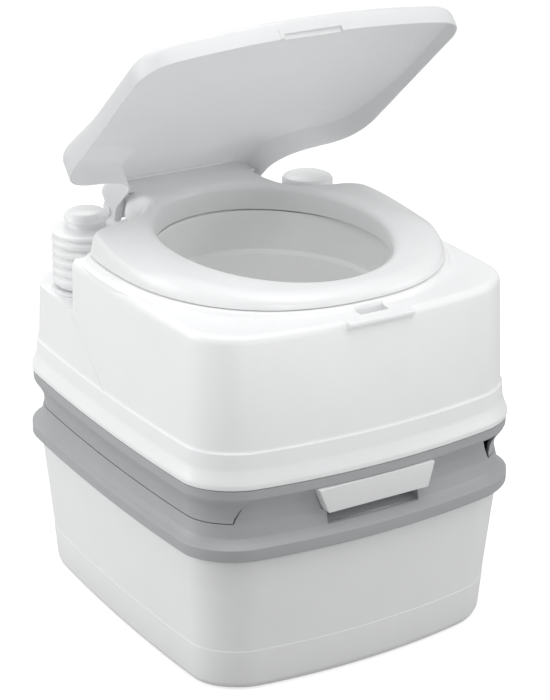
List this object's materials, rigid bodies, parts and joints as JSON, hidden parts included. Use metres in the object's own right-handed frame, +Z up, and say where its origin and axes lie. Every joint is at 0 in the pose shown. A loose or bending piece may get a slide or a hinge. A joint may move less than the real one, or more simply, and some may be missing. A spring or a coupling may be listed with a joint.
{
  "type": "portable camp toilet",
  "caption": "Box-shaped portable toilet: flush-water section with bowl, hinged seat and lid, bellows pump and filler cap, on a waste section with sliding valve and swing-out pouring spout.",
  "frame": {"origin": "on the floor, at the centre of the base footprint", "axes": "+Z up, -Y out of the front (valve handle side), +X to the right seen from the front"},
  "size_m": [0.386, 0.4341, 0.632],
  "materials": {
    "white_plastic": "moulded, fine grain, semi-matt",
    "grey_plastic": "moulded, fine grain, semi-matt",
    "light_grey_plastic": "moulded, smooth",
    "off_white_plastic": "moulded, smooth, slightly glossy",
    "dark_plastic": "moulded, matt",
    "rubber": "moulded, matt",
    "steel": "plain, bright"
  },
  "bodies": {
    "waste_section": {"lower_tank": "white_plastic", "lower_collar": "grey_plastic", "valve_body_bottom": "dark_plastic", "valve_body_top": "dark_plastic", "valve_seal": "rubber", "spout_seal": "rubber", "latch_pin": "steel", "valve_screw_1": "steel", "valve_screw_2": "steel", "valve_screw_3": "steel", "valve_screw_4": "steel"},
    "valve_slider": {"valve_blade": "dark_plastic", "valve_rod": "dark_plastic", "valve_handle": "off_white_plastic"},
    "pour_spout": {"spout": "dark_plastic"},
    "spout_cap_lift": {"spout_cap_seal": "rubber"},
    "spout_cap_turn": {"spout_cap": "grey_plastic"},
    "vent": {"vent_button": "dark_plastic", "vent_seal": "rubber", "vent_spring": "steel"},
    "latch_lever": {"rear_latch": "grey_plastic"},
    "flush_section": {"upper_tank": "white_plastic", "upper_collar": "grey_plastic", "bowl": "light_grey_plastic", "bowl_gasket": "rubber", "pump_base": "light_grey_plastic", "pump_bellows": "white_plastic", "intake_tube": "off_white_plastic", "intake_valve": "rubber", "outlet_valve": "rubber", "fill_neck": "white_plastic", "flush_nozzle": "grey_plastic", "flush_hose": "off_white_plastic", "hinge_block_left": "grey_plastic", "hinge_block_right": "grey_plastic", "hinge_pin_left": "steel", "hinge_pin_right": "steel", "hinge_screw_1": "steel", "hinge_screw_2": "steel", "hinge_screw_3": "steel", "hinge_screw_4": "steel", "collar_screw_1": "steel", "collar_screw_2": "steel", "collar_screw_3": "steel", "collar_screw_4": "steel"},
    "pump_plunger": {"pump_knob": "light_grey_plastic"},
    "fill_cap_lift": {"fill_cap_seal": "rubber"},
    "fill_cap_turn": {"fill_cap": "light_grey_plastic"},
    "toilet_seat": {"seat": "off_white_plastic", "seat_bumper_1": "rubber", "seat_bumper_2": "rubber", "seat_bumper_3": "rubber", "seat_bumper_4": "rubber"},
    "toilet_lid": {"lid": "white_plastic"}
  },
  "joints": [
    {"name": "section_lift_off", "type": "slide", "parent": "waste_section", "child": "flush_section", "axis": [0, 0, 1], "range_m": [0, 0.15]},
    {"name": "valve_pull", "type": "slide", "parent": "waste_section", "child": "valve_slider", "axis": [0, -1, 0], "range_m": [0, 0.092]},
    {"name": "spout_swing", "type": "hinge", "parent": "waste_section", "child": "pour_spout", "pos_m": [-0.12, 0.165, 0.197], "axis": [0, 0, 1], "range_deg": [0, 90]},
    {"name": "spout_cap_rise", "type": "slide", "parent": "pour_spout", "child": "spout_cap_lift", "axis": [1, 0, 0], "range_m": [0, 0.0041]},
    {"name": "spout_cap_screw", "type": "hinge", "parent": "spout_cap_lift", "child": "spout_cap_turn", "pos_m": [-0.014, 0.165, 0.197], "axis": [1, 0, 0], "range_deg": [0, 360]},
    {"name": "vent_press", "type": "slide", "parent": "waste_section", "child": "vent", "axis": [0, 0, -1], "range_m": [0, 0.004], "stiffness_N_per_m": 500, "springref_m": -0.002, "deforming": ["vent_spring"]},
    {"name": "latch_tip", "type": "hinge", "parent": "waste_section", "child": "latch_lever", "pos_m": [0.07, 0.211, 0.179], "axis": [-1, 0, 0], "range_deg": [-15, 0]},
    {"name": "pump_press", "type": "slide", "parent": "flush_section", "child": "pump_plunger", "axis": [0, 0, -1], "range_m": [0, 0.045], "stiffness_N_per_m": 250, "springref_m": -0.004, "deforming": ["pump_bellows"]},
    {"name": "fill_cap_rise", "type": "slide", "parent": "flush_section", "child": "fill_cap_lift", "axis": [0, 0, 1], "range_m": [0, 0.0041]},
    {"name": "fill_cap_screw", "type": "hinge", "parent": "fill_cap_lift", "child": "fill_cap_turn", "pos_m": [0.14, 0.145, 0.38], "axis": [0, 0, 1], "range_deg": [0, 360]},
    {"name": "seat_hinge", "type": "hinge", "parent": "flush_section", "child": "toilet_seat", "pos_m": [0, 0.1785, 0.38], "axis": [-1, 0, 0], "range_deg": [0, 80]},
    {"name": "lid_hinge", "type": "hinge", "parent": "toilet_seat", "child": "toilet_lid", "pos_m": [0, 0.1785, 0.38], "axis": [-1, 0, 0], "range_deg": [-41.4, 55]}
  ],
  "couplings": [
    {"joint": "fill_cap_rise", "follows": "fill_cap_screw", "m_per_rad": 0.00063662},
    {"joint": "spout_cap_rise", "follows": "spout_cap_screw", "m_per_rad": 0.00063662}
  ]
}
